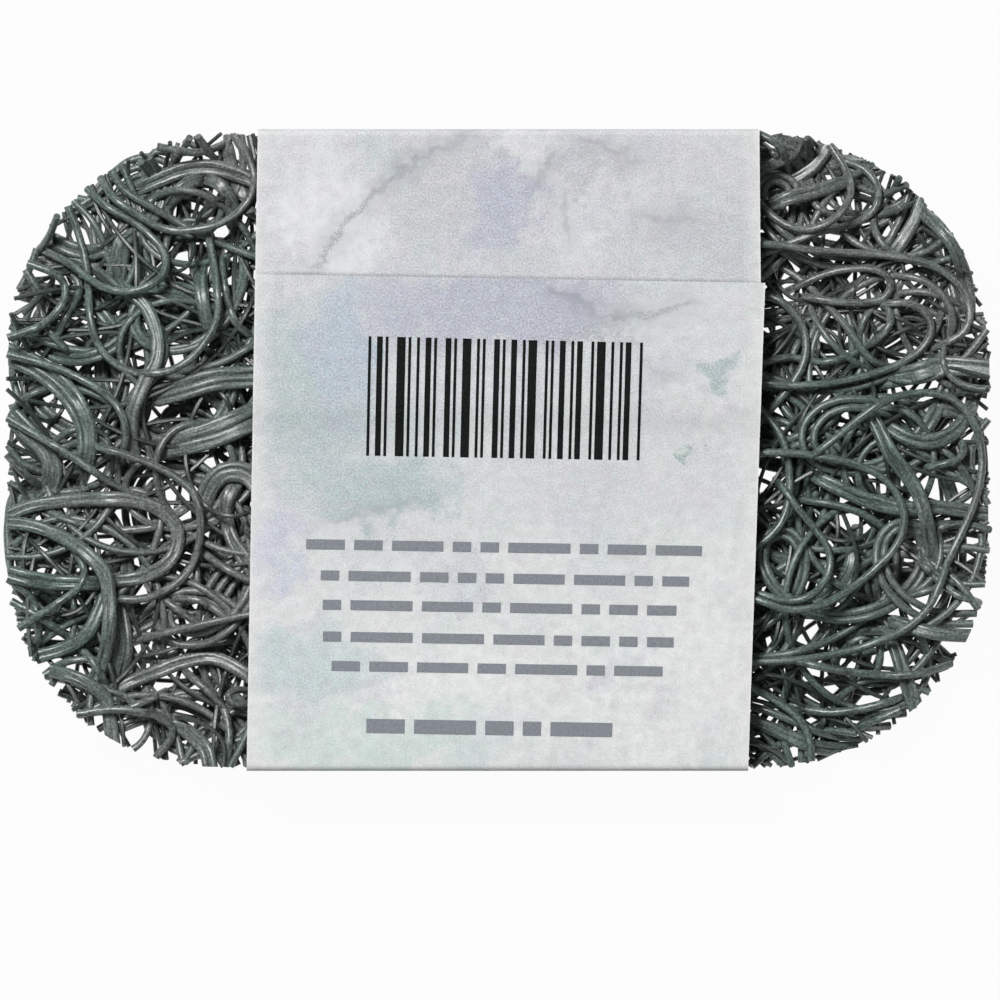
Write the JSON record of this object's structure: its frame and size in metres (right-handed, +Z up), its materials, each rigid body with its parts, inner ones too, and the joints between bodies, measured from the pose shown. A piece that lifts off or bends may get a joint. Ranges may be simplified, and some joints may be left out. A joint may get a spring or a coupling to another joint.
{
  "type": "soap saver",
  "caption": "Open mat of looped plastic strands that lets a bar of soap drain, held in a paper sleeve that slides off.",
  "frame": {"origin": "under the middle of the part, on the surface that the sleeve's bottom panel rests on", "axes": "+X along the mat's length, +Y along its width towards the sleeve's seam, +Z up out of the printed side"},
  "size_m": [0.118, 0.0768, 0.0113],
  "materials": {
    "strand": "soft extruded PVC, dark grey-green, a low sheen along each strand",
    "paper": "uncoated paper with a pale lavender and blue watercolour wash",
    "glue": "dried paper glue"
  },
  "bodies": {
    "mat": {"base_strand_01": "strand", "base_strand_02": "strand", "base_strand_03": "strand", "base_strand_04": "strand", "base_strand_05": "strand", "base_strand_06": "strand", "base_strand_07": "strand", "base_strand_08": "strand", "cover_strand_01": "strand", "cover_strand_02": "strand", "cover_strand_03": "strand", "cover_strand_04": "strand", "cover_strand_05": "strand", "cover_strand_06": "strand", "crossing_strand_01": "strand", "crossing_strand_02": "strand", "crossing_strand_03": "strand", "crossing_strand_04": "strand", "left_face_strand_01": "strand", "left_face_strand_02": "strand", "left_face_strand_03": "strand", "left_face_strand_04": "strand", "left_face_strand_05": "strand", "left_face_strand_06": "strand", "left_face_strand_07": "strand", "left_face_strand_08": "strand", "left_face_strand_09": "strand", "left_face_strand_10": "strand", "left_face_strand_11": "strand", "left_face_strand_12": "strand", "left_face_strand_13": "strand", "left_face_strand_14": "strand", "left_face_strand_15": "strand", "left_face_strand_16": "strand", "left_face_strand_17": "strand", "left_face_strand_18": "strand", "left_face_strand_19": "strand", "left_face_strand_20": "strand", "left_face_strand_21": "strand", "left_face_strand_22": "strand", "right_face_strand_01": "strand", "right_face_strand_02": "strand", "right_face_strand_03": "strand", "right_face_strand_04": "strand", "right_face_strand_05": "strand", "right_face_strand_06": "strand", "right_face_strand_07": "strand", "right_face_strand_08": "strand", "right_face_strand_09": "strand", "right_face_strand_10": "strand", "right_face_strand_11": "strand", "right_face_strand_12": "strand", "right_face_strand_13": "strand", "right_face_strand_14": "strand", "right_face_strand_15": "strand", "right_face_strand_16": "strand", "right_face_strand_17": "strand", "right_face_strand_18": "strand"},
    "sleeve": {"paper_sleeve": "paper", "glue_line": "glue"}
  },
  "joints": [
    {"name": "sleeve_slide", "type": "slide", "parent": "mat", "child": "sleeve", "axis": [1, 0, 0], "range_m": [-0.091, 0.091]}
  ]
}
